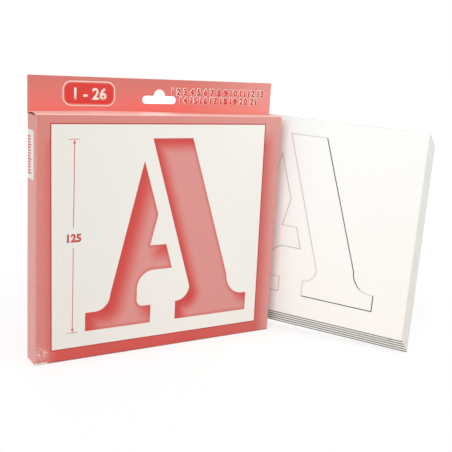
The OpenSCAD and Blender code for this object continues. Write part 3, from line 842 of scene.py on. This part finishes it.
def cutInk(look):
    material, tree, shader = startMaterial("painted_cut_shade")[:3]
    facing = addNode(tree, "Attribute", {"attribute_name": "facing"})
    ramp = addNode(tree, "ValToRGB", links={0: facing.outputs["Fac"]})
    setStops(ramp, look["stops"])
    tree.links.new(ramp.outputs["Color"], shader.inputs["Base Color"])
    shader.inputs["Roughness"].default_value = look["roughness"]
    return material


def addCutLines(look):
    material = cutInk(look)
    along, up = cardAxes(True)
    out = along.cross(up).normalized()
    out = out if out.dot(jointAxis("letter_left_press")) > 0 else -out
    for side, island in letterIslands.items():
        node = "letter_a_" + side
        foot = spanAlong(node, up)[0] - look["slit"] - min(y for x, y in island)
        left = spanAlong(node, along)[0] - look["slit"] - min(x for x, y in island)
        faceReach = spanAlong(node, out)[1]
        inner = [tuple(point) for point in insetOutline(island, look["inner"])]
        piece = fillOutlines("cut_line_" + side, [island, inner])
        middles = np.array([(face.center.x / mm, face.center.y / mm) for face in piece.data.polygons])
        for vertex in piece.data.vertices:
            x, y = vertex.co.x / mm, vertex.co.y / mm
            vertex.co = (along * (left + x) + up * (foot + y) + out * (faceReach + look["proud"])) * mm
        # facing sets how dark the painted shade is: darkest on edges that face right and down, away from the
        # light
        facing = np.minimum(edgeFacing(middles, island, look["lean"]) * 0.5 + 0.5, look["deepest"][side])
        addShade(piece, "facing", facing, "FACE")
        thicken(piece, look["thick"], -1 if piece.data.polygons[0].normal.dot(out) > 0 else 1)
        piece.data.materials.append(material)
        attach(piece, "slug_" + side)


addCutLines(cutShadeLook)
print("cut lines drawn")


# Lid: the board crowns a little between its fold and its tuck, most on the left. The crown also lifts about
# half of its underside past the print's box, so the open lid shows red there where it should be bare board
lidLook = {"crown": 1.6, "crownAt": -42, "crownWide": 62, "ends": 0.3, "swell": 1.5, "foldRadius": 0.55,
           "foldShare": 0.2, "thick": 0.5, "rows": 14, "columns": 60, "gap": 0.3, "back": 7.55,
           "smoothBelow": 35}


def addLid(look):
    bpy.ops.mesh.primitive_grid_add(x_subdivisions=look["columns"], y_subdivisions=look["rows"], size=1)
    lid = bpy.context.object
    lid.name = "crowned_lid"
    radius, share = look["foldRadius"], look["foldShare"]
    flat = look["back"] - frontY - radius
    half = cartonRight - look["gap"]
    for vertex in lid.data.vertices:
        x = vertex.co.x * 2 * half
        # the first rows run round the fold, the others on to the back
        run = vertex.co.y + 0.5
        if run < share:
            angle = math.pi / 2 * run / share
            y = frontY + radius * (1 - math.cos(angle))
            z = foldHeight - radius * (1 - math.sin(angle))
        else:
            along = (run - share) / (1 - share)
            y = frontY + radius + flat * along
            hump = math.exp(-((x - look["crownAt"]) / look["crownWide"]) ** 2)
            rise = look["ends"] + (look["crown"] - look["ends"]) * hump
            z = foldHeight + rise * math.sin(math.pi * along) ** look["swell"]
        vertex.co = (x * mm, y * mm, z * mm)
    thicken(lid, look["thick"], -1)
    bpy.ops.object.shade_smooth_by_angle(angle=math.radians(look["smoothBelow"]))
    lid.data.materials.append(boards["lid_panel"])
    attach(lid, "lid")
    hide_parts("lid_panel")


addLid(lidLook)
print("lid modelled")


# Floor and light: a plain pale floor that keeps the shadow, a soft key from the front left and an even sky.
# Each light has its name, place, power in watts and size in metres
stageLook = {"floorSize": 8, "floorRoughness": 0.9, "floor": "#e2e2e2", "floorSeen": "#a9a9a9",
             "floorLift": 0.635, "nearFloor": 250, "farFloor": 800, "sky": 0.55, "aim": (0, 0, 0.08),
             "lights": [("key_light", (-1.76, -1.59, 1.3), 33, 1.4),
                        ("fill_light", (1.25, -1.2, 0.7), 6.5, 0.9),
                        ("back_light", (0.7, 2.3, 1.3), 9, 1.4)]}


# 1 for rays that see the stage, straight, in a mirror or through glass, and 0 for those that light the object
def seenRays(tree):
    ray = addNode(tree, "LightPath")
    either = addNode(tree, "Math", {"operation": "MAXIMUM"},
                     {0: ray.outputs["Is Camera Ray"], 1: ray.outputs["Is Glossy Ray"]})
    seen = addNode(tree, "Math", {"operation": "MAXIMUM"},
                   {0: either.outputs[0], 1: ray.outputs["Is Transmission Ray"]})
    return seen.outputs[0]


def addFloor(look):
    bpy.ops.mesh.primitive_grid_add(x_subdivisions=4, y_subdivisions=4, size=look["floorSize"])
    floor = bpy.context.object
    floor.name = "floor"
    material, tree, shader, coords = startMaterial("pale_floor")
    shader.inputs["Roughness"].default_value = look["floorRoughness"]
    seen = seenRays(tree)
    tone = addNode(tree, "Mix", {"data_type": "RGBA", 6: linear(look["floor"]), 7: linear(look["floorSeen"])},
                   {0: seen})
    tree.links.new(tone.outputs[2], shader.inputs["Base Color"])
    # far from the object the floor glows up to the white of the sky
    radius = addNode(tree, "VectorMath", {"operation": "LENGTH"}, {0: coords})
    rising = {1: look["nearFloor"], 2: look["farFloor"], 3: look["floorLift"], 4: 1.0}
    farLift = addNode(tree, "MapRange", rising, {0: radius.outputs["Value"]})
    lift = addNode(tree, "Math", {"operation": "MULTIPLY"}, {0: seen, 1: farLift.outputs[0]})
    shader.inputs["Emission Color"].default_value = (1, 1, 1, 1)
    tree.links.new(lift.outputs[0], shader.inputs["Emission Strength"])
    floor.data.materials.append(material)


def addSky(look):
    world = bpy.data.worlds.new("even_sky")
    bpy.context.scene.world = world
    world.use_nodes = True
    sky = world.node_tree
    background = sky.nodes["Background"]
    background.inputs["Color"].default_value = (1, 1, 1, 1)
    level = addNode(sky, "MapRange", {3: look["sky"], 4: 1.0}, {0: seenRays(sky)})
    sky.links.new(level.outputs[0], background.inputs["Strength"])


def addLights(look):
    for name, place, power, size in look["lights"]:
        turn = (Vector(look["aim"]) - Vector(place)).to_track_quat("-Z", "Y").to_euler()
        bpy.ops.object.light_add(type="AREA", location=place, rotation=turn)
        light = bpy.context.object
        light.name = name
        light.data.energy = power
        light.data.size = size


addFloor(stageLook)
addSky(stageLook)
addLights(stageLook)
print("stage and light set")
